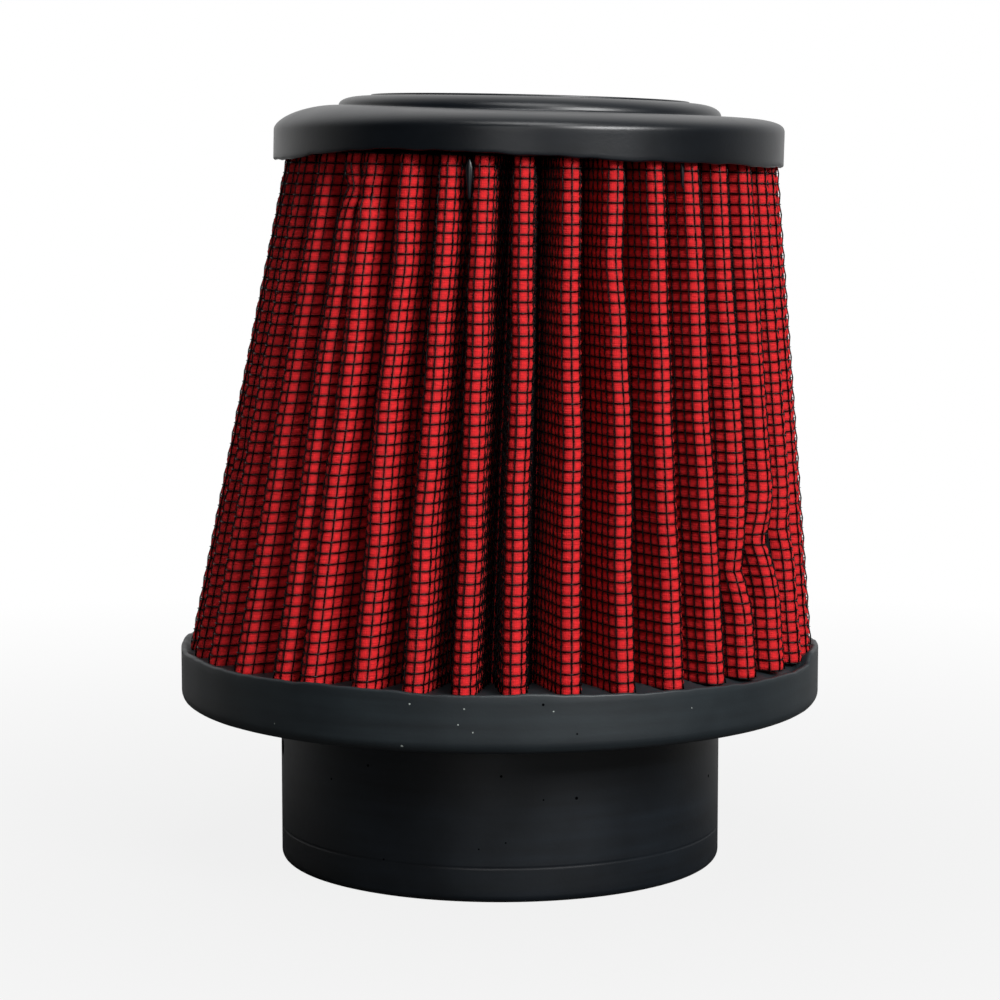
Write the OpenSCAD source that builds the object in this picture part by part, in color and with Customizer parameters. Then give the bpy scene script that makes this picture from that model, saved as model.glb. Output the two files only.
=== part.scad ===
// Clamp-on cone air filter: a pleated red cotton sleeve between two black polyurethane castings.
// The origin is on the neck's axis, in the plane of its open end. The neck points down, the cap is up.
// Azimuths are counted from the front, which is -Y, towards +X.

/* [Neck] */
// Bore of the neck, which is the outside size of the pipe that it is clamped on
neck_bore = 60; // [50:0.5:64]
// Thickness of the neck's wall
neck_wall = 5; // [3:0.25:6]
// Length of the neck below the ring
neck_len = 25.6; // [15:0.2:40]
// Rounding of the neck's outer edge at its open end
neck_edge_r = 1.2; // [0.4:0.1:2.5]
// Height of the clamp line above the open end
groove_z = 5.4; // [4:0.2:12]
// Width of the clamp line
groove_w = 0.9; // [0.4:0.1:2]
// Depth of the clamp line
groove_depth = 0.35; // [0.1:0.05:1]

/* [Base ring] */
// Height of the ring that holds the lower pleat ends
ring_h = 8.8; // [7:0.2:14]
// Thickness of the casting outside the pleat channel
ring_wall = 0.75; // [0.7:0.05:4]
// Rounding of the ring's lower edge
ring_edge_r = 1.8; // [0.5:0.1:3]
// Rounding of the ring's lip
ring_lip_r = 0.5; // [0.2:0.05:0.6]

/* [Pleated sleeve] */
// Number of pleats round the sleeve
pleats = 38; // [24:1:42]
// Radius over the pleat crests at the sleeve's lower end
base_crest_r = 49.9; // [48:0.1:60]
// Radius over the pleat crests at the sleeve's upper end
top_crest_r = 38.3; // [34:0.1:48]
// Height of the sleeve that shows between the two castings
open_h = 76; // [40:1:120]
// Depth of a pleat from its crest to its inner fold
pleat_depth = 13.5; // [9:0.25:14]
// Width over a crest at the lower end
base_crest_w = 3.9; // [3.4:0.1:4.4]
// Width over a crest at the upper end
top_crest_w = 3.4; // [3.2:0.1:3.7]
// Width over an inner fold
fold_w = 2.9; // [2.8:0.05:3.2]
// Size of the bevels that round a crest and a fold
bevel = 1; // [0.8:0.05:1]
// Depth to which the pleat ends stand in each casting
seat_depth = 2.5; // [1.5:0.25:5]
// Clearance between the pleats and the walls of the channels
seat_gap = 0.1; // [0.05:0.01:0.3]
// Azimuth of the first crest
first_crest = 2.3; // [0:0.1:9]
// Turn of the upper pleat ends against the lower ones
pack_turn = -3.5; // [-6:0.25:6]
// Distance by which the upper pleat ends lie off the cap's axis
pack_shift = 0.6; // [0:0.1:0.8]

/* [Layers] */
// Thickness of the cotton gauze
gauze_t = 0.7; // [0.5:0.05:0.8]
// Thickness of each wire cloth
mesh_t = 0.3; // [0.2:0.05:0.3]
// Gaps in the outer wire cloth along one crest
gap_rows = 3; // [1:1:3]
// Width of a gap
gap_w = 2.2; // [1:0.1:2.6]
// Height of the bars between the gaps
gap_bar = 3; // [1:0.25:6]

/* [Seam] */
// Thickness of the strip that closes the sleeve
clip_t = 0.4; // [0.3:0.05:0.5]
// Length of the strip's legs along the pleat
clip_leg = 5; // [3:0.25:7]
// Clearance between the strip and the wire cloth
clip_gap = 0.1; // [0.05:0.01:0.15]

/* [Cap] */
// Thickness of the casting outside the pleat channel
cap_wall = 0.65; // [0.6:0.05:5]
// Height of the cap's straight side
cap_side_h = 4.2; // [3:0.1:8]
// Height of the cap at the edge of its flat top
cap_shoulder_h = 8.1; // [7.5:0.1:14]
// Radius at which the rounded shoulder ends
cap_shoulder_r = 31; // [26:0.25:33]
// Step from the shoulder up to the plateau
plateau_step = 0.8; // [0.2:0.1:2]
// Width of the groove between the shoulder and the plateau
plateau_gap = 1; // [0.4:0.1:2]
// Radius of the raised disc on the plateau
disc_r = 25; // [10:0.5:28]
// Height of the raised disc
disc_h = 1; // [0.3:0.1:2]
// Distance of the cap's axis from the neck's axis
cap_offset = 4.5; // [0:0.25:8]
// Lean of the cap towards +X
cap_tilt = 1.4; // [0:0.1:4]

/* [Hidden] */
$fn = 96;

neck_r = neck_bore / 2 + neck_wall;
ring_z = neck_len;
lip_z = ring_z + ring_h;
cap_z = lip_z + open_h;
pack_h = open_h + 2 * seat_depth;
pack_t = gauze_t + 2 * mesh_t;
pitch = 360 / pleats;
// A bevel loses this share of the depth by which a layer lies inside the outer face
bevel_loss = 2 - sqrt(2);
// Points round one pleat: four on the crest and two on the fold
pleat_points = 6;
ring_points = pleats * pleat_points;

// How far the sloping pleats spread and lean over the depth of a channel
seat_spread = (base_crest_r - top_crest_r) * seat_depth / pack_h;
seat_lean = (cap_offset + pack_shift) * seat_depth / pack_h;
fold_room = pleat_depth + clip_gap + clip_t + seat_gap;

// Walls of the two channels that the pleat ends stand in
base_channel_out = base_crest_r + seat_gap;
base_channel_in = base_crest_r - fold_room - seat_spread - seat_lean;
cap_channel_out = top_crest_r + pack_shift + seat_spread + seat_gap;
cap_channel_in = top_crest_r - fold_room - pack_shift;
ring_r = base_channel_out + ring_wall;
cap_r = cap_channel_out + cap_wall;
seam_pleat = floor(pleats / 2);
cut_over = 1;
gap_end_h = 0.01;

// Points on an arc about [x, z] from azimuth a0 to a1
function arc(x, z, r, a0, a1, steps = 6) =
    [for (i = [0:steps]) let (a = a0 + (a1 - a0) * i / steps) [x + r * cos(a), z + r * sin(a)]];

// Point [x, y, z] of the cap's own frame in the filter's frame
function in_cap(p) = [
    cap_offset + p.x * cos(cap_tilt) + p.z * sin(cap_tilt),
    p.y,
    cap_z - p.x * sin(cap_tilt) + p.z * cos(cap_tilt)
];

// Polar point at azimuth a, moved s sideways
function polar(a, r, s) = [r * sin(a) + s * cos(a), s * sin(a) - r * cos(a)];

// Point of a pleat end: upper is 0 for the lower end and 1 for the upper end
function end_point(upper, a, r, s) = upper == 0
    ? let (p = polar(a, r, s)) [p.x, p.y, lip_z - seat_depth]
    : let (p = polar(a + pack_turn, r, s)) in_cap([p.x + pack_shift, p.y, seat_depth]);

function crest_r(upper) = upper == 0 ? base_crest_r : top_crest_r;
function crest_w(upper) = upper == 0 ? base_crest_w : top_crest_w;

// Crest k of the surface that lies t inside the sleeve's outer face
function crest(upper, k, t) =
    let (r = crest_r(upper) - t, h = crest_w(upper) / 2 - t, b = bevel - bevel_loss * t)
    [for (q = [[r - b, -h], [r, b - h], [r, h - b], [r - b, h]])
        end_point(upper, first_crest + k * pitch, q[0], q[1])];

// Fold after crest k of the surface that lies t inside the sleeve's outer face
function fold(upper, k, t) =
    let (u = pack_t - t, r = crest_r(upper) - pleat_depth + u, h = fold_w / 2 - u)
    [for (s = [-h, h]) end_point(upper, first_crest + (k + 0.5) * pitch, r, s)];

// One closed line round a pleat end
function pleat_ring(upper, t) = [for (k = [0:pleats - 1]) each concat(crest(upper, k, t), fold(upper, k, t))];

// Solid between the surfaces that lie t0 and t1 inside the sleeve's outer face
module pleated_layer(t0, t1) {
    n = ring_points;
    polyhedron(
        points = concat(pleat_ring(0, t0), pleat_ring(1, t0), pleat_ring(0, t1), pleat_ring(1, t1)),
        faces = [
            for (i = [0:n - 1]) let (j = (i + 1) % n) each [
                [i, n + i, n + j],
                [i, n + j, j],
                [2 * n + i, 3 * n + j, 3 * n + i],
                [2 * n + i, 2 * n + j, 3 * n + j],
                [i, j, 2 * n + j, 2 * n + i],
                [n + i, 3 * n + i, 3 * n + j, n + j]
            ]
        ]
    );
}

// Thin block across crest k at the share f of the sleeve's height
module gap_end(k, f) {
    low = crest(0, k, 0);
    high = crest(1, k, 0);
    mid = (low[1] + low[2]) / 2 * (1 - f) + (high[1] + high[2]) / 2 * f;
    turn = first_crest + k * pitch + pack_turn * f;
    translate(mid) rotate([0, 0, turn]) cube([gap_w, 2 * cut_over, gap_end_h], center = true);
}

// Gaps in the outer wire cloth, in rows along each crest
module mesh_gaps() {
    gap_h = (open_h - (gap_rows + 1) * gap_bar) / gap_rows;
    for (k = [0:pleats - 1], row = [0:gap_rows - 1]) {
        start = seat_depth + gap_bar + row * (gap_h + gap_bar);
        hull() {
            gap_end(k, start / pack_h);
            gap_end(k, (start + gap_h) / pack_h);
        }
    }
}

// Sideways slope of the clean side of a flank, seen from the middle of a fold
function flank_slope(upper) =
    let (
        b = bevel - bevel_loss * pack_t,
        r = crest_r(upper) - pack_t - b,
        h = crest_w(upper) / 2 - pack_t,
        c = cos(pitch / 2),
        s = sin(pitch / 2)
    ) (r * s - h * c - fold_w / 2) / (r * c + h * s - crest_r(upper) + pleat_depth);

// Section of the seam strip, folded round the inner fold of the seam pleat: its inner line, then its outer one
function clip_section(upper) =
    let (
        a = first_crest + (seam_pleat + 0.5) * pitch,
        r = crest_r(upper) - pleat_depth - clip_gap,
        h = fold_w / 2 + clip_gap,
        flare = clip_leg * flank_slope(upper),
        inner = [[r + clip_leg, -h - flare], [r, -h], [r, h], [r + clip_leg, h + flare]],
        grow = [[0, -1], [-1, -1], [-1, 1], [0, 1]]
    ) [for (q = concat(inner, inner + clip_t * grow)) end_point(upper, a, q[0], q[1])];

module seam_clip() {
    lower = clip_section(0);
    m = len(lower) / 2;
    n = len(lower);
    color("#8a8f94") polyhedron(
        points = concat(lower, clip_section(1)),
        faces = [
            [m, n + m, n], [m, n, 0],
            [m - 1, n + m - 1, n + n - 1], [m - 1, n + n - 1, n - 1],
            for (i = [0:m - 2]) let (j = i + 1) each [
                [i, j, m + j, m + i],
                [n + m + i, n + m + j, n + j, n + i],
                [i, n + i, n + j],
                [i, n + j, j],
                [m + i, n + m + j, n + m + i],
                [m + i, m + j, n + m + j]
            ]
        ]
    );
}

module cotton_gauze() {
    color("#b81c1c") pleated_layer(mesh_t, mesh_t + gauze_t);
}

module outer_mesh() {
    color("#1c1f22") difference() {
        pleated_layer(0, mesh_t);
        mesh_gaps();
    }
}

module inner_mesh() {
    color("#3a3e42") pleated_layer(mesh_t + gauze_t, pack_t);
}

module base_profile() {
    polygon(concat(
        [[neck_bore / 2, 0]],
        arc(neck_r - neck_edge_r, neck_edge_r, neck_edge_r, -90, 0),
        [
            [neck_r, groove_z - groove_w / 2], [neck_r - groove_depth, groove_z],
            [neck_r, groove_z + groove_w / 2], [neck_r, ring_z]
        ],
        arc(ring_r - ring_edge_r, ring_z + ring_edge_r, ring_edge_r, -90, 0),
        arc(ring_r - ring_lip_r, lip_z - ring_lip_r, ring_lip_r, 0, 90),
        [
            [base_channel_out, lip_z], [base_channel_out, lip_z - seat_depth],
            [base_channel_in, lip_z - seat_depth], [base_channel_in, lip_z], [neck_bore / 2, lip_z]
        ]
    ));
}

module base_moulding() {
    color("#23282c") rotate_extrude() base_profile();
}

// The shoulder is a quarter of an ellipse from the straight side to the groove round the plateau
module cap_profile() {
    steps = 10;
    rise = cap_shoulder_h - cap_side_h;
    run = cap_r - cap_shoulder_r;
    plateau_r = cap_shoulder_r - plateau_gap;
    plateau_h = cap_shoulder_h + plateau_step;
    polygon(concat(
        [
            [0, 0], [cap_channel_in, 0], [cap_channel_in, seat_depth],
            [cap_channel_out, seat_depth], [cap_channel_out, 0], [cap_r, 0]
        ],
        [for (i = [0:steps]) let (a = 90 * i / steps)
            [cap_shoulder_r + run * cos(a), cap_side_h + rise * sin(a)]],
        [
            [plateau_r, cap_shoulder_h], [plateau_r - plateau_step / 2, plateau_h],
            [disc_r, plateau_h], [disc_r, plateau_h + disc_h], [0, plateau_h + disc_h]
        ]
    ));
}

module top_cap() {
    color("#1d2226") translate([cap_offset, 0, cap_z]) rotate([0, cap_tilt, 0])
        rotate_extrude() cap_profile();
}

base_moulding();
top_cap();
cotton_gauze();
outer_mesh();
inner_mesh();
seam_clip();
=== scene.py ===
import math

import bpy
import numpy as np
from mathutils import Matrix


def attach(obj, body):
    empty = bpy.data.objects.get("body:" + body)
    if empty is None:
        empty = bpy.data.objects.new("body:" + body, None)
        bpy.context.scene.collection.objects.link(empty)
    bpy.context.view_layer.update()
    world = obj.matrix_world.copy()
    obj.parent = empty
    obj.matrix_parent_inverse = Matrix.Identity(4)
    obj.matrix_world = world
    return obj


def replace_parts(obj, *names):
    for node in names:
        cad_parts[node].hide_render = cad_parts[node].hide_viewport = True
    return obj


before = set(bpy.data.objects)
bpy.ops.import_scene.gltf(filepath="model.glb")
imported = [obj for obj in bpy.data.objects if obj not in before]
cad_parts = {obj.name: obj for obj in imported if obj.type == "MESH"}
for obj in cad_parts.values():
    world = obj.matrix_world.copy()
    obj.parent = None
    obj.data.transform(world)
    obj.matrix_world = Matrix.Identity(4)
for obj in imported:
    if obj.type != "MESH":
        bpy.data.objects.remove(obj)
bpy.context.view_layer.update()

# %% [markdown]
# This file dresses a clamp-on cone air filter. On the real thing a strip of red cotton gauze lies between
# two sheets of black wire cloth. The three are folded together into pleats, closed into a sleeve, and both
# ends are cast into black polyurethane: a ring with a neck below, a closed cap above.
# The solids that arrive with the frame give every size. The looks are worked out here as surfaces over grids,
# because pleats, threads and wires all follow the same few formulas.

MM = 0.001

# %% [markdown]
# Sizes first. They are the real ones in millimetres, the same as in the solids, and everything later is
# worked out from them. The origin is on the neck's axis in the plane of its open end, and -Y is the front.

# %% Sizes in millimetres
PLEATS = 38
PITCH = 360 / PLEATS
FIRST_CREST = 2.3
PACK_TURN = -3.5
PLEAT_DEPTH = 13.5
FOLD_W = 2.9
PACK_T = 1.3
CREST_R = (49.9, 38.3)
CREST_W = (3.9, 3.4)
NECK_BORE_R, NECK_R, RING_Z, LIP_Z = 30.0, 35.0, 25.6, 34.4
RING_R, RING_EDGE_R = 50.75, 1.8
GROOVE_Z, GROOVE_W, GROOVE_DEPTH = 5.4, 0.3, 0.06
SEAT_DEPTH = 2.5
CAP_Z, CAP_R = LIP_Z + 76, 40.0
CAP_OFFSET, CAP_TILT, PACK_SHIFT = 4.5, math.radians(1.4), 0.6
CAP_H = 9.9
PLATEAU_R, DISC_R, DISC_H = 30.0, 25.0, 0.3

# Wire cloth of 16 wires to the inch
WIRE_PITCH = 1.59
WIRE_R = 0.14
WEFT_ROWS = 48
CELLS = 18
print("wire pitch along the height", round((CAP_Z - LIP_Z) / WEFT_ROWS, 2), "mm")

# %% [markdown]
# The camera looks along +Y from a little under the cap's edge and tips down slightly. Its place and its long
# lens were worked out from the photograph, from the curves of the neck, the ring and the cap.

# %% Camera
camera_data = bpy.data.cameras.new("camera")
camera_data.sensor_width = 36
camera_data.lens = 106.2
camera_data.clip_start = 0.01
camera = bpy.data.objects.new("camera", camera_data)
camera.location = (0, -0.4669, 0.1085)
camera.rotation_euler = (math.pi / 2 - 0.11, 0, 0)
bpy.context.scene.collection.objects.link(camera)
bpy.context.scene.camera = camera
bpy.context.scene.view_settings.view_transform = "Standard"
print("camera", tuple(round(x, 4) for x in camera.location))

# %% [markdown]
# Colours are written as sRGB hex and turned to linear light by one function. Nodes are added by another,
# which sets inputs by name or number and links them in one line, so that each material below reads as a list.


# %% Colour and node helpers
def linear(hex_colour):
    """sRGB hex to linear RGBA: c / 12.92 below 0.04045, and ((c + 0.055) / 1.055) ** 2.4 above it."""
    channels = [int(hex_colour[i:i + 2], 16) / 255 for i in (1, 3, 5)]
    return [c / 12.92 if c <= 0.04045 else ((c + 0.055) / 1.055) ** 2.4 for c in channels] + [1.0]


def add(tree, kind, inputs=None, **settings):
    """One node. settings are its own properties, and inputs maps a socket to a value or to an output socket."""
    node = tree.nodes.new(kind)
    for name, value in settings.items():
        setattr(node, name, value)
    for socket, value in (inputs or {}).items():
        target = node.inputs[socket]
        if isinstance(value, bpy.types.NodeSocket):
            tree.links.new(value, target)
        else:
            target.default_value = value
    return node


def new_material(name):
    """An empty node material with its shader and output, and its node tree."""
    material = bpy.data.materials.new(name)
    material.use_nodes = True
    tree = material.node_tree
    tree.nodes.clear()
    shader = add(tree, "ShaderNodeBsdfPrincipled")
    add(tree, "ShaderNodeOutputMaterial", {"Surface": shader.outputs["BSDF"]})
    return material, tree, shader


def ramp(tree, factor, stops):
    """A colour ramp through [position, hex colour] stops."""
    node = add(tree, "ShaderNodeValToRGB", {"Fac": factor})
    elements = node.color_ramp.elements
    while len(elements) < len(stops):
        elements.new(0.5)
    for element, (position, colour) in zip(elements, stops):
        element.position = position
        element.color = linear(colour)
    return node.outputs["Color"]


# %% [markdown]
# Cotton gauze is woven from fine yarn and dyed with the red filter oil. It has no gloss. Its fuzz catches
# light at a grazing angle, which is what the sheen is for, and its threads show as a fine cross pattern.
# The pattern follows the folds because it reads the sheet's own UV map, which is laid out in millimetres.


# %% Cotton gauze
def cotton_gauze_material():
    """Yarn 0.33 mm apart both ways, soft creases in each square with painted light on their ridges and painted shade in
    their hollows, and painted shade along the wires.
    """
    material, tree, shader = new_material("oiled cotton gauze")
    uv = add(tree, "ShaderNodeUVMap", uv_map="cloth").outputs["UV"]

    def maths(operation, first, second=0.0, third=0.0):
        return add(tree, "ShaderNodeMath", {0: first, 1: second, 2: third}, operation=operation).outputs[0]

    def noise(scale, detail, roughness=0.6):
        place = add(tree, "ShaderNodeMapping", {"Vector": uv, "Scale": scale}).outputs["Vector"]
        settings = {"Vector": place, "Scale": 1.0, "Detail": detail, "Roughness": roughness}
        return add(tree, "ShaderNodeTexNoise", settings).outputs["Fac"]

    yarn = [
        add(tree, "ShaderNodeTexWave", {
            "Vector": uv, "Scale": math.pi * 2 / (20 * 0.33), "Distortion": 1.2, "Detail": 1.0, "Detail Scale": 1.5,
        }, bands_direction=axis, wave_profile="SIN").outputs["Fac"] for axis in ("X", "Y")]
    weave = maths("MULTIPLY", yarn[0], yarn[1])
    crease = noise((0.5, 2.0, 1.0), 3.0)
    slub = noise((2.2, 2.2, 2.2), 3.0, 0.7)
    stain = noise((0.12, 0.06, 0.1), 3.0)

    # Share of the way from the nearest wire to the middle of a square, along both directions of the cloth. It masks the
    # painted shade beside the wires.
    parts = add(tree, "ShaderNodeSeparateXYZ", {"Vector": uv})
    free = None
    for axis in ("X", "Y"):
        away = maths("PINGPONG", maths("DIVIDE", parts.outputs[axis], WIRE_PITCH), 0.5)
        free = away if free is None else maths("MINIMUM", free, away)
    clear = add(tree, "ShaderNodeMapRange", {"Value": free, "From Min": 0.04, "From Max": 0.3}).outputs["Result"]

    # The crease noise sets the tone as well as the bump, so each crease's ridge is painted lighter and its hollow
    # darker: painted light and shade.
    tone = maths("MULTIPLY_ADD", slub, 0.35, maths("MULTIPLY_ADD", weave, 0.12, maths("MULTIPLY", crease, 0.45)))
    cloth = ramp(tree, tone, [[0.15, "#94080d"], [0.45, "#c50f16"], [0.75, "#e92429"]])
    oiled = add(tree, "ShaderNodeMixRGB", {
        "Fac": maths("MULTIPLY", stain, 0.5), "Color1": cloth, "Color2": linear("#a50a10")}).outputs["Color"]
    # Painted shade: next to every wire the cloth is darkened towards #70060b, where the wires shade it.
    shade = add(tree, "ShaderNodeMixRGB", {
        "Fac": clear, "Color1": linear("#70060b"), "Color2": oiled}).outputs["Color"]
    height = maths("MULTIPLY_ADD", crease, 2.5, maths("ADD", maths("MULTIPLY", weave, 0.5), slub))
    bump = add(tree, "ShaderNodeBump", {"Height": height, "Strength": 0.6, "Distance": 0.13 * MM})
    tree.links.new(shade, shader.inputs["Base Color"])
    tree.links.new(bump.outputs["Normal"], shader.inputs["Normal"])
    shader.inputs["Roughness"].default_value = 0.8
    shader.inputs["Specular IOR Level"].default_value = 0.3
    shader.inputs["Sheen Weight"].default_value = 0.15
    shader.inputs["Sheen Roughness"].default_value = 0.4
    shader.inputs["Sheen Tint"].default_value = linear("#ff6a60")
    return material


gauze_material = cotton_gauze_material()
print("made", gauze_material.name)

# %% [markdown]
# The wire cloth is woven from thin wire and then dipped in black epoxy, so its finish is a smooth satin
# black that gives a small bright glint on top of each crossing.


# %% Coated wire
def coated_wire_material(name, colour, roughness):
    """Satin epoxy over wire, a little uneven from dipping."""
    material, tree, shader = new_material(name)
    place = add(tree, "ShaderNodeTexCoord")
    uneven = add(tree, "ShaderNodeTexNoise", {"Vector": place.outputs["Object"], "Scale": 900.0, "Detail": 2.0})
    shade = ramp(tree, uneven.outputs["Fac"], [[0.3, colour], [0.75, "#080809"]])
    gloss = add(tree, "ShaderNodeMapRange", {
        "Value": uneven.outputs["Fac"], "To Min": roughness - 0.08, "To Max": roughness + 0.12})
    tree.links.new(shade, shader.inputs["Base Color"])
    tree.links.new(gloss.outputs["Result"], shader.inputs["Roughness"])
    shader.inputs["Specular IOR Level"].default_value = 0.15
    return material


wire_material = coated_wire_material("epoxy coated wire", "#020203", 0.26)
inner_wire_material = coated_wire_material("epoxy coated wire inside", "#050505", 0.45)
print("made", wire_material.name, "and", inner_wire_material.name)

# %% [markdown]
# The two end pieces are poured polyurethane: a rubbery black with a low, waxy gloss. Open moulds leave
# small air pits and faint clouding, so the material has a few pits at listed places, painted as near-black
# spots of shade without depth, and fine mottling.
# The neck is cast against a polished core, and the ring against a plain mould wall, so the ring is duller.

# %% Cast polyurethane
# Air pits, painted as near-black spots of shade with no depth, and pale dust on the neck and the ring: azimuth from the
# front, height and radius
NECK_PIT_SHADES = [
    (-79.8, 18.4, 1.9), (-47.4, 16.7, 0.2), (-34.7, 19.8, 0.22), (0.3, 19.4, 0.22), (19.1, 15.7, 0.26),
    (68.7, 14.9, 0.3), (10.7, 15.7, 0.15), (-30.1, 5.7, 0.16), (-5.2, 8.3, 0.14), (1.4, 9.3, 0.15),
]
RING_PIT_SHADES = [
    (-50.8, 26.3, 0.25), (-43.1, 26.3, 0.25), (-32.5, 26.2, 0.32), (-14.2, 25.9, 0.25), (7.0, 33.0, 0.22),
    (12.6, 28.6, 0.16), (38.7, 25.6, 0.22),
]
RING_DUST = [
    (-16.2, 26.6, 0.24), (-14.8, 32.9, 0.16), (-5.8, 32.4, 0.14), (-6.8, 30.1, 0.13), (-4.4, 29.0, 0.12),
    (-41.0, 28.0, 0.12), (-25.8, 26.1, 0.14), (8.7, 32.0, 0.12), (24.3, 26.0, 0.13), (33.4, 31.1, 0.12),
]


def cast_polyurethane(name, dark, pale, gloss, spots=()):
    """Mottled black with faint streaks and a clouded gloss. A spot is (x, y, z, radius, hex colour) in millimetres."""
    material, tree, shader = new_material(name)
    place = add(tree, "ShaderNodeTexCoord").outputs["Object"]

    def noise(scale, detail):
        stretched = add(tree, "ShaderNodeMapping", {"Vector": place, "Scale": scale}).outputs["Vector"]
        return add(tree, "ShaderNodeTexNoise", {
            "Vector": stretched, "Scale": 1.0, "Detail": detail, "Roughness": 0.6}).outputs["Fac"]

    cloud = noise((60.0, 60.0, 60.0), 5.0)
    grain = noise((1800.0, 1800.0, 1800.0), 3.0)
    streak = noise((25.0, 25.0, 500.0), 3.0)
    tone = add(tree, "ShaderNodeMath", {0: cloud, 1: streak}, operation="MULTIPLY").outputs[0]
    colour = ramp(tree, tone, [[0.12, dark], [0.42, pale]])
    whole = 1.0
    # Each spot is a flat colour with no depth; the near-black ones are painted shade for the inside of air pits.
    for x, y, z, radius, paint in spots:
        away = add(tree, "ShaderNodeVectorMath", {0: place, 1: (x * MM, y * MM, z * MM)}, operation="DISTANCE")
        inside = add(tree, "ShaderNodeMapRange", {
            "Value": away.outputs["Value"], "From Min": radius * MM * 1.1, "From Max": radius * MM * 0.7}
        ).outputs["Result"]
        colour = add(tree, "ShaderNodeMixRGB", {
            "Fac": inside, "Color1": colour, "Color2": linear(paint)}).outputs["Color"]
        outside = add(tree, "ShaderNodeMath", {0: 1.0, 1: inside}, operation="SUBTRACT").outputs[0]
        whole = add(tree, "ShaderNodeMath", {0: whole, 1: outside}, operation="MULTIPLY").outputs[0]
    rough = add(tree, "ShaderNodeMapRange", {"Value": cloud, "To Min": gloss - 0.07, "To Max": gloss + 0.1})
    bump = add(tree, "ShaderNodeBump", {"Height": grain, "Strength": 0.2, "Distance": 0.05 * MM})
    tree.links.new(colour, shader.inputs["Base Color"])
    tree.links.new(rough.outputs["Result"], shader.inputs["Roughness"])
    tree.links.new(bump.outputs["Normal"], shader.inputs["Normal"])
    shader.inputs["Specular IOR Level"].default_value = 0.45
    if spots:
        shine = add(tree, "ShaderNodeMath", {0: whole, 1: 0.45}, operation="MULTIPLY")
        tree.links.new(shine.outputs[0], shader.inputs["Specular IOR Level"])
    return material


def spots_on(radius, marks, colour):
    """Marks (azimuth, height, size) on a wall of the given radius, as points with a colour."""
    places = [(math.radians(azimuth), z, size) for azimuth, z, size in marks]
    return [(radius * math.sin(a), -radius * math.cos(a), z, size, colour) for a, z, size in places]


# The three castings are one polyurethane. The ring's paler colours and the cap's darker ones are painted light and
# shade, for the light that the ring's rough face scatters and the cap's smooth face does not.
neck_material = cast_polyurethane(
    "cast polyurethane neck", "#06090d", "#10161c", 0.36, spots_on(NECK_R, NECK_PIT_SHADES, "#010102"))
ring_material = cast_polyurethane(
    "cast polyurethane ring", "#10161a", "#1c2428", 0.5,
    spots_on(RING_R, RING_PIT_SHADES, "#010102") + spots_on(RING_R, RING_DUST, "#8f9692"))
cap_material = cast_polyurethane("cast polyurethane cap", "#04070b", "#0b1016", 0.34)
print("made", neck_material.name, "with", len(NECK_PIT_SHADES), "pits,", ring_material.name, "and", cap_material.name)

# %% [markdown]
# The strip that closes the sleeve inside is plain folded aluminium, rolled at the mill, so its fine lines
# run along its length.


# %% Mill-finish aluminium
def mill_aluminium():
    """Fine rolling lines along Z, 0.1 mm apart, over a plain metal."""
    material, tree, shader = new_material("mill finish aluminium")
    place = add(tree, "ShaderNodeTexCoord")
    lines_place = add(tree, "ShaderNodeMapping", {"Vector": place.outputs["Object"], "Scale": (10000.0, 10000.0, 60.0)})
    lines = add(tree, "ShaderNodeTexNoise", {"Vector": lines_place.outputs["Vector"], "Scale": 1.0, "Detail": 2.0})
    shade = ramp(tree, lines.outputs["Fac"], [[0.3, "#8c9094"], [0.7, "#b9bcbf"]])
    gloss = add(tree, "ShaderNodeMapRange", {"Value": lines.outputs["Fac"], "To Min": 0.3, "To Max": 0.5})
    tree.links.new(shade, shader.inputs["Base Color"])
    tree.links.new(gloss.outputs["Result"], shader.inputs["Roughness"])
    shader.inputs["Metallic"].default_value = 1.0
    return material


clip_material = mill_aluminium()
print("made", clip_material.name)

# %% [markdown]
# Every new surface is a grid of points. One helper turns a grid into a mesh piece, rides it on the object's
# body and gives it its finish. A grid can be closed round its columns, as a sleeve or a turned form is.


# %% Grid to piece
def make_piece(name, points, faces, material, uv=None):
    """A mesh from points in millimetres and index arrays, with smooth faces and an optional UV map per point."""
    points = np.asarray(points, dtype=np.float64).reshape(-1, 3) * MM
    faces = [np.asarray(part, dtype=np.int32) for part in (faces if isinstance(faces, list) else [faces])]
    corners = np.concatenate([part.ravel() for part in faces])
    totals = np.concatenate([np.full(len(part), part.shape[1], dtype=np.int32) for part in faces])
    starts = np.concatenate([[0], np.cumsum(totals)[:-1]]).astype(np.int32)
    mesh = bpy.data.meshes.new(name)
    mesh.vertices.add(len(points))
    mesh.vertices.foreach_set("co", points.ravel())
    mesh.loops.add(len(corners))
    mesh.loops.foreach_set("vertex_index", corners)
    mesh.polygons.add(len(totals))
    mesh.polygons.foreach_set("loop_start", starts)
    mesh.polygons.foreach_set("loop_total", totals)
    mesh.update(calc_edges=True)
    mesh.polygons.foreach_set("use_smooth", np.ones(len(totals), dtype=bool))
    if uv is not None:
        layer = mesh.uv_layers.new(name="cloth")
        layer.data.foreach_set("uv", np.asarray(uv).reshape(-1, 2)[corners].ravel())
    mesh.materials.append(material)
    piece = bpy.data.objects.new(name, mesh)
    bpy.context.scene.collection.objects.link(piece)
    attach(piece, "root")
    triangles = int((totals - 2).sum())
    print(name, "has", triangles, "triangles")
    return piece


def grid_faces(rows, columns, closed=True):
    """Quads over a grid with rows going up and columns going anticlockwise seen from above, facing outwards."""
    last = columns if closed else columns - 1
    row = np.arange(rows - 1)[:, None] * columns
    column = np.arange(last)[None, :]
    after = (column + 1) % columns
    a, b = row + column, row + after
    return np.stack([a, b, b + columns, a + columns], axis=-1).reshape(-1, 4)


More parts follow.
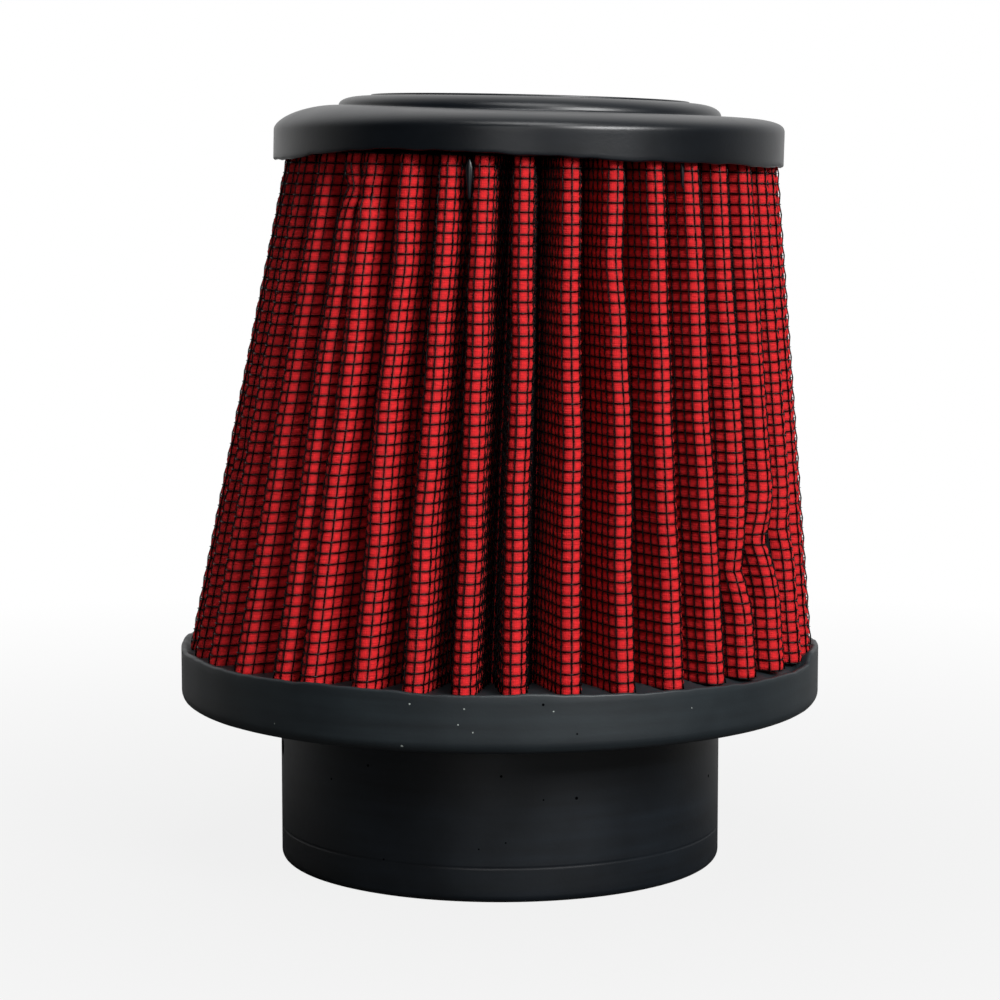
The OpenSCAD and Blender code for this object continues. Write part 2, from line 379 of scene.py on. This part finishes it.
# %% [markdown]
# The pleats. One pleat is a half circle over the crest, a straight flank, a half circle round the inner fold
# and a flank back. The line is worked out once for the lower end and once for the upper end, and the surface
# runs straight between them, as cloth under tension does. On the real filter no two pleats stand quite evenly,
# so the front ones get the small shifts that the photograph shows, in degrees, and the hidden ones a gentle wave.

# %% Where the crests stand
NUDGE_FIRST = -8
NUDGE_LOW = [-0.5, -0.5, 1.0, 3.0, 0.0, 1.5, 1.5, 0.8, 0.0, 0.2, 0.6, 1.0, 1.0, 0.3, 0.9, 0.9, 0.0]
NUDGE_HIGH = [2.0, 1.5, 2.6, 3.2, -0.4, 0.1, 0.6, -0.8, -1.3, -0.3, 0.3, 0.8, 1.1, 1.3, 1.9, 2.4, 1.4]


def crest_azimuths(upper):
    """Even spacing plus a slow wave, with the front pleats nudged."""
    k = np.arange(PLEATS)
    azimuth = FIRST_CREST + PITCH * k + (PACK_TURN if upper else 0.0)
    nudge = 0.5 * np.sin(1.7 * k) + 0.3 * np.sin(0.6 * k + 1)
    for i, value in enumerate(NUDGE_HIGH if upper else NUDGE_LOW):
        nudge[(NUDGE_FIRST + i) % PLEATS] = value
    return azimuth + nudge


# %% The pleated line at one end
def polar(azimuth, radius, side):
    """Point at an azimuth from the front, moved sideways: (r sin a + s cos a, s sin a - r cos a)."""
    a = np.radians(azimuth)
    return np.stack([radius * np.sin(a) + side * np.cos(a), side * np.sin(a) - radius * np.cos(a)], axis=-1)


def place_end(flat, upper):
    """Flat points of a pleat end in the part's frame. The upper end lies in the tilted, offset cap."""
    x, y = flat[..., 0], flat[..., 1]
    if not upper:
        return np.stack([x, y, np.full_like(x, LIP_Z - SEAT_DEPTH)], axis=-1)
    x = x + PACK_SHIFT
    c, s = math.cos(CAP_TILT), math.sin(CAP_TILT)
    return np.stack([CAP_OFFSET + x * c + SEAT_DEPTH * s, y, CAP_Z - x * s + SEAT_DEPTH * c], axis=-1)


# Half of a pleat in cells of the wire cloth: crest arc, flank and fold arc
CREST_CELLS, FLANK_CELLS, FOLD_CELLS = 1.6, 5.9, 1.5


def pleat_line(upper, inset, cells, slip):
    """Points at the given cell places round every pleat. inset is the depth below the sleeve's outer face.
    Within 1.6 cells of the tip: a circle; then a straight flank; then a circle round the fold."""
    crest_at = crest_azimuths(upper)[:, None]
    after = np.roll(crest_at, -1, axis=0) + np.where(np.arange(PLEATS) == PLEATS - 1, 360, 0)[:, None]
    before = np.roll(crest_at, 1, axis=0) - np.where(np.arange(PLEATS) == 0, 360, 0)[:, None]
    place = cells[None, :] + slip
    over = place > CELLS / 2
    own = np.where(over, after, crest_at)
    place = np.where(over, place - CELLS, place)
    side = np.sign(place) + (place == 0)
    fold_at = np.where(over, (crest_at + after) / 2, np.where(place >= 0, (crest_at + after) / 2, (crest_at + before) / 2))
    far = np.abs(place)
    r_crest, r_fold = CREST_W[upper] / 2 - inset, FOLD_W / 2 - (PACK_T - inset)
    crest_mid = CREST_R[upper] - inset - r_crest
    fold_mid = CREST_R[upper] - PLEAT_DEPTH + (PACK_T - inset) + r_fold
    turn = np.clip(far / CREST_CELLS, 0, 1) * np.pi / 2
    crest = polar(own, crest_mid + r_crest * np.cos(turn), side * r_crest * np.sin(turn))
    back = np.clip((CELLS / 2 - far) / FOLD_CELLS, 0, 1) * np.pi / 2
    fold = polar(fold_at, fold_mid - r_fold * np.cos(back), -side * r_fold * np.sin(back))
    share = np.clip((far - CREST_CELLS) / FLANK_CELLS, 0, 1)[..., None]
    return place_end(crest * (1 - share) + fold * share, upper).reshape(-1, 3)


# %% [markdown]
# Handling has bent some pleats. Two near the right edge are kinked sideways low down, and two at the upper
# left are crumpled under the cap. Each kink is a small tent: full at its own height, nothing a few
# millimetres above and below, and strongest on the crest.

# %% Kinks and unevenness
# Pleat, height, reach below, reach above, sideways shift and inward shift of the crest, in millimetres
KINKS = [
    (5, 49.8, 7, 12, -1.1, 0.9), (6, 53.6, 9, 8, -1.5, 1.2), (7, 54.5, 6, 7, -0.6, 0.5),
    (-5, 106.5, 4, 3, 1.0, 0.4), (-4, 105.4, 3, 3, -0.6, 0.9), (-5, 103.0, 4, 3, -0.4, 0.5),
    (-8, 66.0, 9, 7, 0.5, 0.4), (-3, 95.0, 9, 9, 0.4, 0.1), (2, 96.0, 10, 12, -0.6, 0.1),
]


def crest_weight(cells):
    """1 on the crest, falling to 0 at the fold as a cosine."""
    far = np.minimum(np.abs(cells), CELLS - np.abs(cells))
    return (0.5 + 0.5 * np.cos(np.pi * np.clip(far / (CELLS / 2), 0, 1))) ** 1.3


def bend(points, cells):
    """Moves the crests of a (rows, pleats, cells, 3) grid by the kinks and by a slow seeded wander."""
    rng = np.random.default_rng(7)
    radial = points[..., :2] / np.linalg.norm(points[..., :2], axis=-1, keepdims=True)
    sideways = np.stack([-radial[..., 1], radial[..., 0]], axis=-1)
    z = points[..., 2]
    weight = crest_weight(cells)[None, None, :]
    own = np.where(cells > CELLS / 2, 1, 0)
    shift = np.zeros_like(z)
    inward = np.zeros_like(z)
    for pleat, height, below, above, side, inner in KINKS:
        dz = z - height
        tent = np.clip(1 - np.where(dz < 0, -dz / below, dz / above), 0, 1)
        for j, step in enumerate(own):
            k = (pleat - step) % PLEATS
            shift[:, k, j] += side * tent[:, k, j] * weight[0, 0, j]
            inward[:, k, j] += inner * tent[:, k, j] ** 2 * weight[0, 0, j]
    share = (z - LIP_Z) / (CAP_Z - LIP_Z)
    held = np.sin(np.pi * np.clip(share, 0, 1))
    for waves, size in ((1.0, 0.18), (2.3, 0.1), (5.1, 0.05)):
        phase = rng.uniform(0, 2 * np.pi, PLEATS)
        for j, step in enumerate(own):
            shift[:, :, j] += size * weight[0, 0, j] * held[:, :, j] * np.sin(
                2 * np.pi * waves * share[:, :, j] + np.roll(phase, -step)[None, :])
    moved = points.copy()
    moved[..., :2] += sideways * shift[..., None] - radial * inward[..., None]
    return moved


def pleated_surface(inset, cells, rows):
    """Grid (rows, pleats * cells, 3) of the pleated surface that lies inset below the sleeve's outer face."""
    rng = np.random.default_rng(11)
    slip = rng.uniform(-0.45, 0.45, PLEATS)[:, None]
    blend = np.clip((cells[None, :] - 5) / (CELLS - 10), 0, 1)
    slip = slip * (1 - blend) + np.roll(slip, -1, axis=0) * blend
    low = pleat_line(0, inset, cells, slip)
    high = pleat_line(1, inset, cells, slip)
    span = (SEAT_DEPTH - 0.7) / (CAP_Z - LIP_Z + 2 * SEAT_DEPTH)
    share = np.linspace(span, 1 - span, rows)[:, None, None]
    surface = low[None] * (1 - share) + high[None] * share
    surface = bend(surface.reshape(rows, PLEATS, len(cells), 3), cells)
    return surface.reshape(rows, -1, 3)


def outward(surface):
    """Unit normals of a grid that is closed round its columns: the cross product of its two directions."""
    along = np.roll(surface, -1, axis=1) - np.roll(surface, 1, axis=1)
    up = np.gradient(surface, axis=0)
    normal = np.cross(along, up)
    return normal / np.linalg.norm(normal, axis=-1, keepdims=True)


# %% [markdown]
# The gauze swells a little through every square of the wire cloth. That is real shape and not only shading:
# the grid has a point on every wire and one between wires, and the points between are lifted.
# Deep in the folds, where nothing can be seen, the grid has only the points on the wires.

# %% Gauze plies
FINE_CELLS = np.concatenate([np.arange(-4, 4.01, 0.5), np.arange(5, 13.01, 1.0)])
ROWS = 2 * WEFT_ROWS + 1
wire_surface = pleated_surface(0.2, FINE_CELLS, ROWS)
wire_normal = outward(wire_surface)


def swell(cells, rows, height, seed):
    """Lift of the cloth: 0 under a weft wire, full between two, and 0.55 of that where a warp wire crosses."""
    rng = np.random.default_rng(seed)
    between = (np.arange(rows) % 2)[:, None]
    loose = np.where(cells % 1 == 0, 0.55, 1.0)
    lift = np.tile(loose, PLEATS)[None, :] * between
    return height * lift * rng.uniform(0.75, 1.2, (rows, PLEATS * len(cells)))


def cloth_uv(cells, rows):
    """UV in millimetres along the folded line and up the sleeve."""
    along = (np.arange(PLEATS)[:, None] * CELLS + cells[None, :]).ravel() * WIRE_PITCH
    up = np.arange(rows) * WIRE_PITCH * WEFT_ROWS / (rows - 1)
    return np.stack(np.broadcast_arrays(along[None, :], up[:, None]), axis=-1)


lift = swell(FINE_CELLS, ROWS, 0.27, 3) - 0.16
gauze = make_piece(
    "gauze_outer_ply", wire_surface + wire_normal * lift[..., None], grid_faces(ROWS, wire_surface.shape[1]),
    gauze_material, cloth_uv(FINE_CELLS, ROWS))

INNER_CELLS = np.arange(-5, 13, 1.0)
inner_rows = 24
inner_ply_surface = pleated_surface(0.85, INNER_CELLS, inner_rows)
gauze_inner = make_piece(
    "gauze_inner_ply", inner_ply_surface, grid_faces(inner_rows, inner_ply_surface.shape[1])[:, ::-1],
    gauze_material, cloth_uv(INNER_CELLS, inner_rows))


for piece, surface in ((gauze, wire_surface + wire_normal * lift[..., None]), (gauze_inner, inner_ply_surface)):
    height = float(np.linalg.norm(surface[-1] - surface[0], axis=-1).mean())
    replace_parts(piece, "cotton_gauze")

# %% [markdown]
# The wire cloth is plain woven: each wire goes over one, under the next. A wire is a thin three-sided tube
# along a line of the pleated surface, and smooth shading makes it look round. The weft runs round the sleeve
# in closed loops, the warp runs from ring to cap, and at each crossing one is lifted and the other pressed down.


# %% Tubes along grid lines
def tube_loops(lines, normals, radius, closed):
    """Three-sided tubes along rows of points (tubes, points, 3). The side direction is tangent x normal."""
    if closed:
        tangent = np.roll(lines, -1, axis=1) - np.roll(lines, 1, axis=1)
    else:
        tangent = np.gradient(lines, axis=1)
    tangent /= np.linalg.norm(tangent, axis=-1, keepdims=True)
    side = np.cross(tangent, normals)
    side /= np.linalg.norm(side, axis=-1, keepdims=True)
    lift = np.cross(side, tangent)
    angles = np.radians([0, 120, 240])
    ring = [lines + radius * (math.cos(a) * lift + math.sin(a) * side) for a in angles]
    points = np.stack(ring, axis=2)
    tubes, count = lines.shape[:2]
    t = np.arange(tubes)[:, None, None] * count * 3
    i = np.arange(count if closed else count - 1)[None, :, None]
    j = (i + 1) % count
    a = np.arange(3)[None, None, :]
    b = (a + 1) % 3
    quads = np.stack([t + i * 3 + a, t + j * 3 + a, t + j * 3 + b, t + i * 3 + b], axis=-1).reshape(-1, 4)
    faces = [quads]
    if not closed:
        first = np.arange(tubes)[:, None] * count * 3
        faces.append(first + np.array([[0, 1, 2]]))
        faces.append(first + (count - 1) * 3 + np.array([[2, 1, 0]]))
    return points.reshape(-1, 3), faces


# %% Outer wire cloth
WEAVE_LIFT = 0.11


def over_under(cells, rows):
    """+1 or -1 at each crossing, by turns, and 0 half way between."""
    whole = np.where(cells % 1 == 0, 1, 0)
    parity = np.where((cells + np.arange(PLEATS)[:, None] * CELLS) % 2 == 0, 1, -1) * whole
    return parity.reshape(1, -1) * np.where(np.arange(rows) % 2 == 0, 1, -1)[:, None]


weft = wire_surface[::2]
weft_normal = wire_normal[::2]
weave = over_under(FINE_CELLS, len(weft))[..., None]
weft_lines = weft + weft_normal * WEAVE_LIFT * weave
middle = len(weft) // 2
for name, part in (("mesh_weft_lower", slice(0, middle)), ("mesh_weft_upper", slice(middle, None))):
    points, faces = tube_loops(weft_lines[part], weft_normal[part], WIRE_R, closed=True)
    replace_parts(make_piece(name, points, faces, wire_material), "outer_mesh")

on_wire = np.tile(FINE_CELLS % 1 == 0, PLEATS)
warp_lines = (weft - weft_normal * WEAVE_LIFT * weave)[:, on_wire].swapaxes(0, 1)
warp_normal = weft_normal[:, on_wire].swapaxes(0, 1)
points, faces = tube_loops(warp_lines, warp_normal, WIRE_R, closed=False)
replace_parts(make_piece("mesh_warp", points, faces, wire_material), "outer_mesh")

# %% [markdown]
# The inner cloth is the same weave on the clean side. Only its nearest folds can be seen, through the neck,
# so its wires take fewer points.

# %% Inner wire cloth
inner_cells = np.concatenate([np.arange(-4, 5, 4.0), np.arange(7, 12, 1.0)])
inner_surface = pleated_surface(1.1, inner_cells, WEFT_ROWS + 1)
inner_normal = -outward(inner_surface)
points, faces = tube_loops(inner_surface, inner_normal, WIRE_R, closed=True)
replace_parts(make_piece("inner_mesh_weft", points, faces, inner_wire_material), "inner_mesh")
inner_warp_surface = pleated_surface(1.1, INNER_CELLS, 7)
inner_warp_normal = -outward(inner_warp_surface)
points, faces = tube_loops(inner_warp_surface.swapaxes(0, 1), inner_warp_normal.swapaxes(0, 1), WIRE_R, closed=False)
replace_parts(make_piece("inner_mesh_warp", points, faces, inner_wire_material), "inner_mesh")

# %% [markdown]
# The castings are turned forms with hand-made unevenness. A profile in radius and height is swept round, and
# each point's height or radius is nudged by slow waves, most at the lips where the liquid met the cloth.


# %% Turned forms
def arc(x, z, radius, start, end, steps=8):
    """Points on a circle about (x, z), from one angle to the other in degrees."""
    a = np.radians(np.linspace(start, end, steps))
    return [(x + radius * math.cos(t), z + radius * math.sin(t)) for t in a]


def dense(profile, step):
    """The same outline with extra points, so that no stretch is longer than step."""
    out = []
    for (x0, z0), (x1, z1) in zip(profile, profile[1:]):
        count = max(1, math.ceil(math.hypot(x1 - x0, z1 - z0) / step))
        out += [(x0 + (x1 - x0) * i / count, z0 + (z1 - z0) * i / count) for i in range(count)]
    return np.array(out + [profile[-1]])


def revolve(profile, columns):
    """Grid (rows, columns, 3) of a profile turned about Z, and the azimuth of each column."""
    azimuth = np.arange(columns) * 360 / columns
    a = np.radians(azimuth)
    r, z = profile[:, 0][:, None], profile[:, 1][:, None]
    return np.stack([r * np.sin(a), -r * np.cos(a), np.broadcast_to(z, (len(profile), columns))], axis=-1), azimuth


def waves(azimuth, seed, sizes):
    """Sum of cosines round the turn: size i has a whole number of waves, with a seeded phase."""
    rng = np.random.default_rng(seed)
    a = np.radians(azimuth)
    return sum(size * np.cos(n * a + rng.uniform(0, 2 * np.pi)) for n, size in sizes)


# %% Base moulding
COLUMNS = 400
FILL_DIP = 0.5
# Height of the ring's lip against the plain one, round the ring. It ends ragged near both sides.
LIP_AZIMUTH = [
    -180, -110, -98, -81, -75, -65, -55, -45, -25, -10, 8, 14, 20, 35, 45, 50, 60, 67, 70.5, 72, 80, 88, 96, 110, 180]
LIP_RISE = [
    0.1, 0.2, 0.2, 0.0, 0.0, 0.15, -0.1, 0.2, 0.4, 0.0, 0.05, -0.1, -0.3, -0.5, -1.0, -0.85, -1.15, -1.25, -1.0,
    0.55, 0.4, 0.15, -0.4, 0.0, 0.1]


def close_ring(rows, columns):
    """Quads from the last row of a closed grid back to its first, which shuts a turned tube."""
    column = np.arange(columns)
    after = (column + 1) % columns
    last = (rows - 1) * columns
    return np.stack([last + column, last + after, after, column], axis=-1)


base_outline = (
    arc(NECK_BORE_R + 0.6, 0.6, 0.6, 180, 270, 4) + arc(NECK_R - 1.2, 1.2, 1.2, -90, 0)
    + [(NECK_R, GROOVE_Z - 0.4), (NECK_R, GROOVE_Z - GROOVE_W / 2), (NECK_R - GROOVE_DEPTH, GROOVE_Z),
       (NECK_R, GROOVE_Z + GROOVE_W / 2), (NECK_R, GROOVE_Z + 0.4)]
    + arc(NECK_R + 0.5, RING_Z - 0.5, 0.5, 180, 90, 5)
    + arc(RING_R - RING_EDGE_R, RING_Z + RING_EDGE_R, RING_EDGE_R, -90, 0)
    + arc(RING_R - 0.35, LIP_Z - 0.35, 0.35, 0, 90, 5)
    + [(RING_R - 0.8, LIP_Z - 0.05), (RING_R - 1.3, LIP_Z - FILL_DIP), (NECK_BORE_R + 3, LIP_Z - FILL_DIP)]
    + arc(NECK_BORE_R + 0.8, LIP_Z - FILL_DIP - 0.8, 0.8, 90, 180, 4)
)
base_profile = dense(base_outline, 1.0)
base_grid, azimuths = revolve(base_profile, COLUMNS)
signed = (azimuths + 180) % 360 - 180
radius, height = base_profile[:, 0][:, None], base_profile[:, 1][:, None]
lip_share = np.clip((height - (LIP_Z - 2.5)) / 2.5, 0, 1) * (radius > RING_R - 1.5)
lip_rise = np.interp(signed, LIP_AZIMUTH, LIP_RISE) + waves(
    azimuths, 5, [(11, 0.05), (19, 0.05), (29, 0.05), (47, 0.04), (83, 0.03)])
base_grid[..., 2] += lip_share * lip_rise[None, :]
fill_share = (radius < RING_R - 1) * (height > LIP_Z - 0.7)
base_grid[..., 2] += fill_share * np.minimum(lip_rise, 0)[None, :] * np.clip((radius - 44) / 5, 0, 1)
out_wave = waves(azimuths, 9, [(2, 0.06), (5, 0.04), (17, 0.02), (37, 0.012)])
ring_share = (radius > RING_R - 2) * (height > RING_Z)
base_grid[..., :2] *= 1 + ring_share[..., None] * (out_wave / RING_R)[None, :, None]
rows = len(base_profile)
base = make_piece(
    "base_casting", base_grid, [grid_faces(rows, COLUMNS), close_ring(rows, COLUMNS)], ring_material)
base.data.materials.append(neck_material)
middles = np.repeat((height[:-1, 0] + height[1:, 0]) / 2 < RING_Z - 0.2, COLUMNS)
wide = np.repeat(radius[:-1, 0] > NECK_BORE_R - 1, COLUMNS)
which = np.concatenate([(middles & wide).astype(np.int32), np.ones(COLUMNS, dtype=np.int32)])
base.data.polygons.foreach_set("material_index", which)
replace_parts(base, "base_moulding")

# %% [markdown]
# The cap is turned in its own frame and then leaned and shifted into place. It was cast by hand: its lower
# edge rises and falls, and its shoulder is rounder on the left and squarer on the right. Three profiles, for
# the left, the front and the right, are blended round the turn with weights that add up to one everywhere.
# Its underside shows only through the neck, and the top is left bare.


# %% Top cap
def in_cap(points):
    """Points of the cap's own frame in the part's frame: turned about Y by the tilt, moved to the cap's place."""
    c, s = math.cos(CAP_TILT), math.sin(CAP_TILT)
    x, y, z = points[..., 0], points[..., 1], points[..., 2]
    return np.stack([CAP_OFFSET + x * c + z * s, y, CAP_Z - x * s + z * c], axis=-1)


def cap_section(side_h, foot_h, power):
    """Lower edge, straight side, shoulder with u ** power + v ** power = 1, rounded plateau rim, disc."""
    turn = np.linspace(0, math.pi / 2, 26)
    u, v = np.cos(turn) ** (2 / power), np.sin(turn) ** (2 / power)
    low = arc(CAP_R - 0.35, 0.35, 0.35, -90, 0, 5)
    side = [(CAP_R, z) for z in np.linspace(0.35, side_h, 9)[1:-1]]
    shoulder = list(zip(PLATEAU_R + 0.3 + (CAP_R - PLATEAU_R - 0.3) * u, side_h + (foot_h - side_h) * v))
    rim_w, rim_h = PLATEAU_R - DISC_R - 0.6, CAP_H - DISC_H - foot_h
    rim = list(zip(PLATEAU_R - rim_w * (1 - np.cos(turn[::2]) ** 0.9), foot_h + rim_h * np.sin(turn[::2]) ** 0.9))
    disc = arc(DISC_R - 0.15, CAP_H - 0.15, 0.15, 0, 90, 4)
    flat = [(r, CAP_H) for r in np.linspace(DISC_R - 1, 0.02, 8)]
    under = [(0.02, 0.5), (CAP_R * 0.6, 0.5), (CAP_R - 1.4, 0.5), (CAP_R - 0.9, 0.1)]
    return np.array(under + low + side + shoulder + rim + [(DISC_R, CAP_H - DISC_H)] + disc + flat)


EDGE_AZIMUTH = [-180, -120, -85, -75, -65, -57, -50, -42, -30, -20, -5, 10, 20, 40, 60, 85, 120, 180]
EDGE_RISE = [0.0, 0.0, -0.5, -0.75, -0.5, 0.0, 0.5, 0.9, 1.2, 1.2, 0.9, 0.5, 0.3, 0.3, 0.0, 0.1, 0.0, 0.0]

sections = [cap_section(4.1, 8.1, 1.75), cap_section(4.6, 7.4, 2.2), cap_section(5.3, 7.6, 3.0)]
cap_azimuth = np.arange(COLUMNS) * 360 / COLUMNS
turn = np.radians(cap_azimuth)
blend = [np.maximum(-np.sin(turn), 0) ** 2, np.cos(turn) ** 2, np.maximum(np.sin(turn), 0) ** 2]
outline = sum(section[:, None, :] * weight[None, :, None] for section, weight in zip(sections, blend))
radius, height = outline[..., 0], outline[..., 1]
signed = (cap_azimuth + 180) % 360 - 180
edge = np.interp(signed, EDGE_AZIMUTH, EDGE_RISE) + waves(
    cap_azimuth, 21, [(9, 0.05), (17, 0.06), (31, 0.05), (53, 0.04)])
height = height + np.clip((3.8 - height) / 3.8, 0, 1) ** 1.2 * (radius > CAP_R - 1.5) * edge
radius = radius + waves(cap_azimuth, 23, [(3, 0.05), (8, 0.03)]) * (radius > PLATEAU_R + 1)
cap_grid = np.stack([radius * np.sin(turn), -radius * np.cos(turn), height], axis=-1)
cap = make_piece("cap_casting", in_cap(cap_grid), grid_faces(len(cap_grid), COLUMNS), cap_material)
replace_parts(cap, "top_cap")

# %% [markdown]
# Two small drips of the same rubber ran down from the cap's lower edge while it was setting. One lies on a
# crest left of the middle, and one hangs thin in front of a valley on the right.


# %% Drips under the cap
def drip(azimuth, top, bottom, width, depth, radius):
    """A stretched ball: half widths width / 2, depth and (top - bottom) / 2, standing on a radius."""
    u = np.linspace(0, np.pi, 14)[:, None]
    v = np.linspace(0, 2 * np.pi, 18, endpoint=False)[None, :]
    side = width / 2 * np.sin(u) * np.cos(v) * (1 + 0.25 * np.cos(3 * u))
    out = depth * np.sin(u) * np.sin(v)
    z = (top + bottom) / 2 - (top - bottom) / 2 * np.cos(u) + 0 * v
    lean = radius + (CAP_R - 2.2 - radius) * 0.3
    a = math.radians(azimuth)
    x, y = lean + out, side
    return np.stack([CAP_OFFSET + x * math.sin(a) + y * math.cos(a), y * math.sin(a) - x * math.cos(a), z], axis=-1)


drips = [drip(-13.5, 110.8, 104.8, 1.0, 0.35, 38.6), drip(36.0, 111.0, 106.5, 0.6, 0.3, 38.0)]
points = np.concatenate([grid.reshape(-1, 3) for grid in drips])
faces = np.concatenate([grid_faces(14, 18) + 14 * 18 * i for i in range(len(drips))])
make_piece("cap_drips", points, faces, cap_material)

# %% [markdown]
# The strip inside is right as it arrives, so it only gets its finish.

# %% Seam strip
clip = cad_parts["seam_clip"]
clip.data.materials.clear()
clip.data.materials.append(clip_material)
print("finished", clip.name)

# %% [markdown]
# The studio is a pale floor, a soft lamp from the front right, a weaker one from the left and a soft sky.
# The background is white to the camera and in reflections. Behind the object the reflected surroundings are
# bright and in front of it they are dim, as beside a white table, which is what lights the edges of the rubber.


# %% Floor, lamps and sky
def floor_material():
    """Pale matt floor that fades to white with distance for the camera and keeps the object's shadow nearby."""
    material, tree, shader = new_material("pale floor")
    shader.inputs["Roughness"].default_value = 0.9
    place = add(tree, "ShaderNodeTexCoord").outputs["Object"]
    along = add(tree, "ShaderNodeSeparateXYZ", {"Vector": place}).outputs["Y"]
    path = add(tree, "ShaderNodeLightPath")
    dim = add(tree, "ShaderNodeMapRange", {"Value": along, "From Min": 0.0, "From Max": 0.5, "To Min": 0.03}).outputs["Result"]
    dim = add(tree, "ShaderNodeMixRGB", {
        "Fac": path.outputs["Is Glossy Ray"], "Color1": linear("#5c5c5c"), "Color2": dim}).outputs["Color"]
    tree.links.new(dim, shader.inputs["Base Color"])
    away = add(tree, "ShaderNodeVectorMath", {0: place}, operation="LENGTH").outputs["Value"]
    fade = add(tree, "ShaderNodeMapRange", {
        "Value": away, "From Min": 0.05, "From Max": 0.3, "To Min": 0.86, "To Max": 1.0}).outputs["Result"]
    white = add(tree, "ShaderNodeEmission", {"Color": linear("#ffffff"), "Strength": 1.0})
    seen = add(tree, "ShaderNodeMath", {0: path.outputs["Is Camera Ray"], 1: fade}, operation="MULTIPLY")
    mix = add(tree, "ShaderNodeMixShader", {
        0: seen.outputs[0], 1: shader.outputs["BSDF"], 2: white.outputs["Emission"]})
    output = next(node for node in tree.nodes if node.type == "OUTPUT_MATERIAL")
    tree.links.new(mix.outputs[0], output.inputs["Surface"])
    return material


floor_size = 6.0
floor_mesh = bpy.data.meshes.new("floor")
half = floor_size / 2
floor_mesh.from_pydata([(-half, -half, 0), (half, -half, 0), (half, half, 0), (-half, half, 0)], [], [(0, 1, 2, 3)])
floor_mesh.materials.append(floor_material())
floor = bpy.data.objects.new("floor", floor_mesh)
bpy.context.scene.collection.objects.link(floor)


def lamp(name, azimuth, elevation, distance, size, power):
    """A square soft lamp at an azimuth from the front and a height angle, aimed at the object's middle."""
    data = bpy.data.lights.new(name, "AREA")
    data.size = size
    data.energy = power
    piece = bpy.data.objects.new(name, data)
    a, e = math.radians(azimuth), math.radians(elevation)
    piece.location = (distance * math.sin(a) * math.cos(e), -distance * math.cos(a) * math.cos(e),
                      0.06 + distance * math.sin(e))
    piece.rotation_euler = (math.pi / 2 - e, 0, a)
    bpy.context.scene.collection.objects.link(piece)


lamp("right_lamp", 36, 30, 1.2, 0.5, 20)
lamp("front_lamp", -8, 12, 1.4, 0.4, 2)
lamp("top_lamp", 6, 68, 1.2, 0.5, 6)

world = bpy.data.worlds.new("studio")
world.use_nodes = True
bpy.context.scene.world = world
sky = world.node_tree
sky.nodes.clear()
path = add(sky, "ShaderNodeLightPath")
direction = add(sky, "ShaderNodeTexCoord")
parts = add(sky, "ShaderNodeSeparateXYZ", {"Vector": direction.outputs["Generated"]})
behind = add(sky, "ShaderNodeMapRange", {
    "Value": parts.outputs["Y"], "From Min": -0.15, "From Max": 0.7, "To Min": 0.02, "To Max": 0.9})
reflected = add(sky, "ShaderNodeBackground", {"Color": linear("#ffffff"), "Strength": behind.outputs["Result"]})
soft = add(sky, "ShaderNodeBackground", {"Color": linear("#ffffff"), "Strength": 0.03})
white = add(sky, "ShaderNodeBackground", {"Color": linear("#ffffff"), "Strength": 1.0})
glossy = add(sky, "ShaderNodeMixShader", {
    0: path.outputs["Is Glossy Ray"], 1: soft.outputs[0], 2: reflected.outputs[0]})
clear = add(sky, "ShaderNodeMixShader", {
    0: path.outputs["Is Transmission Ray"], 1: glossy.outputs[0], 2: white.outputs[0]})
shown = add(sky, "ShaderNodeMixShader", {0: path.outputs["Is Camera Ray"], 1: clear.outputs[0], 2: white.outputs[0]})
add(sky, "ShaderNodeOutputWorld", {"Surface": shown.outputs[0]})
